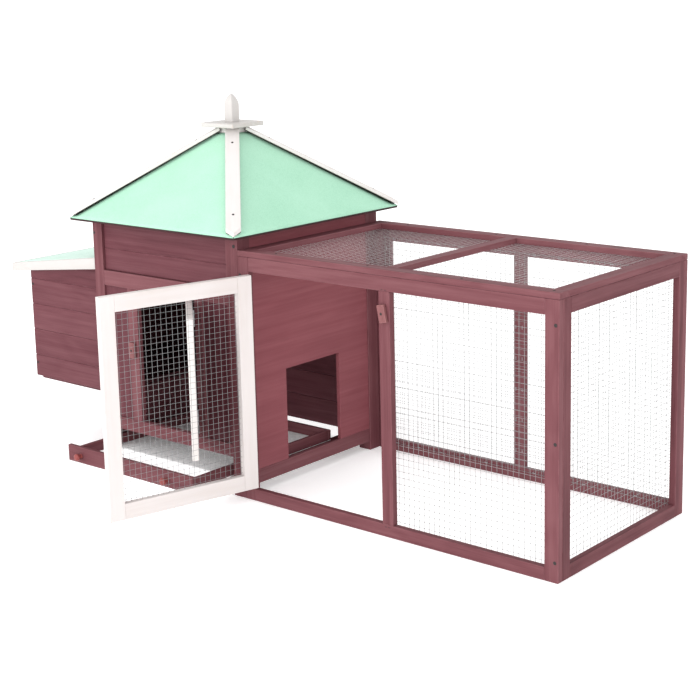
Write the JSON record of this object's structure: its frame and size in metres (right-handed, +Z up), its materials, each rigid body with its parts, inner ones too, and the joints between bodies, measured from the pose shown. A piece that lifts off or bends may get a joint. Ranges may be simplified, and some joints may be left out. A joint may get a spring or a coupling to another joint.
{
  "type": "chicken coop",
  "caption": "Timber hen house with hipped felt roof and finial, lean-to nest box with lifting lid, pull-out tray, and a wire-mesh run with a hinged door.",
  "frame": {"origin": "centre of the whole coop's footprint box at ground level, with the doors and tray as stored", "axes": "+X along the length from the nest box to the run, +Y from the front to the back, +Z up; the doors and tray open towards -Y"},
  "size_m": [1.933, 1.0512, 1.044],
  "materials": {
    "red_boards": "red-brown stain on sawn softwood boards, satin",
    "red_framing": "red-brown stain on planed softwood, satin, grain showing",
    "white_paint": "white painted timber, satin",
    "green_felt": "pale mint green roofing felt, fine mineral grit",
    "galvanised_wire": "galvanised welded wire",
    "galvanised_sheet": "galvanised sheet, spangled",
    "zinc_hardware": "zinc plated",
    "knob_wood": "turned wood, red-brown varnish",
    "button_wood": "light stained wood"
  },
  "bodies": {
    "root": {"wall_right": "red_boards", "wall_left": "red_boards", "wall_back": "red_boards", "front_upper_boards": "red_boards", "front_left_panel": "red_boards", "front_right_panel": "red_boards", "nest_front_panel": "red_boards", "nest_back_panel": "red_boards", "nest_outer_panel": "red_boards", "nest_floor": "red_boards", "post_front_left": "red_framing", "post_front_right": "red_framing", "post_back_left": "red_framing", "post_back_right": "red_framing", "front_header_rail": "red_framing", "front_sill_rail": "red_framing", "front_left_stile": "red_framing", "front_right_stile": "red_framing", "tray_runner_left": "red_framing", "tray_runner_right": "red_framing", "run_front_frame": "red_framing", "run_end_frame": "red_framing", "run_back_frame": "red_framing", "run_top_frame": "red_framing", "hip_strip_front_left": "white_paint", "hip_strip_front_right": "white_paint", "hip_strip_back_right": "white_paint", "hip_strip_back_left": "white_paint", "finial_block": "white_paint", "finial_plate": "white_paint", "finial_spire": "white_paint", "roof_panel_front": "green_felt", "roof_panel_right": "green_felt", "roof_panel_back": "green_felt", "roof_panel_left": "green_felt", "run_mesh_front": "galvanised_wire", "run_mesh_end": "galvanised_wire", "run_mesh_back": "galvanised_wire", "run_mesh_top": "galvanised_wire", "run_door_hinge_top": "zinc_hardware", "run_door_hinge_bottom": "zinc_hardware", "house_door_hinge_top": "zinc_hardware", "house_door_hinge_bottom": "zinc_hardware", "nest_lid_hinge_front": "zinc_hardware", "nest_lid_hinge_back": "zinc_hardware"},
    "run_door": {"run_door_frame": "white_paint", "run_door_mesh": "galvanised_wire"},
    "house_door": {"house_door_frame": "white_paint", "house_door_panel": "red_boards"},
    "run_button": {"run_turn_button": "button_wood"},
    "house_button": {"house_turn_button": "button_wood"},
    "tray": {"tray_front_board": "red_framing", "tray_side_left": "red_framing", "tray_side_right": "red_framing", "tray_back_board": "red_framing", "tray_floor_sheet": "galvanised_sheet", "tray_knob_left": "knob_wood", "tray_knob_right": "knob_wood"},
    "nest_lid": {"nest_lid_fascia": "white_paint", "nest_lid_board": "green_felt"}
  },
  "joints": [
    {"name": "run_door_hinge", "type": "hinge", "parent": "root", "child": "run_door", "pos_m": [0.0285, -0.10638, 0.3275], "axis": [0, 0, 1], "range_deg": [0, 105]},
    {"name": "house_door_hinge", "type": "hinge", "parent": "root", "child": "house_door", "pos_m": [-0.1771, -0.10618, 0.3312], "axis": [0, 0, -1], "range_deg": [0, 136.7]},
    {"name": "run_button_pivot", "type": "hinge", "parent": "root", "child": "run_button", "pos_m": [0.474, -0.10888, 0.564], "axis": [0, -1, 0], "continuous": true},
    {"name": "house_button_pivot", "type": "hinge", "parent": "root", "child": "house_button", "pos_m": [-0.427, -0.10868, 0.3466], "axis": [0, -1, 0], "continuous": true},
    {"name": "tray_slide", "type": "slide", "parent": "root", "child": "tray", "axis": [0, 1, 0], "range_m": [-0.18, 0.133]},
    {"name": "nest_lid_hinge", "type": "hinge", "parent": "root", "child": "nest_lid", "pos_m": [-0.5754, 0.18762, 0.5967], "axis": [0, 1, 0], "range_deg": [0, 72]}
  ]
}
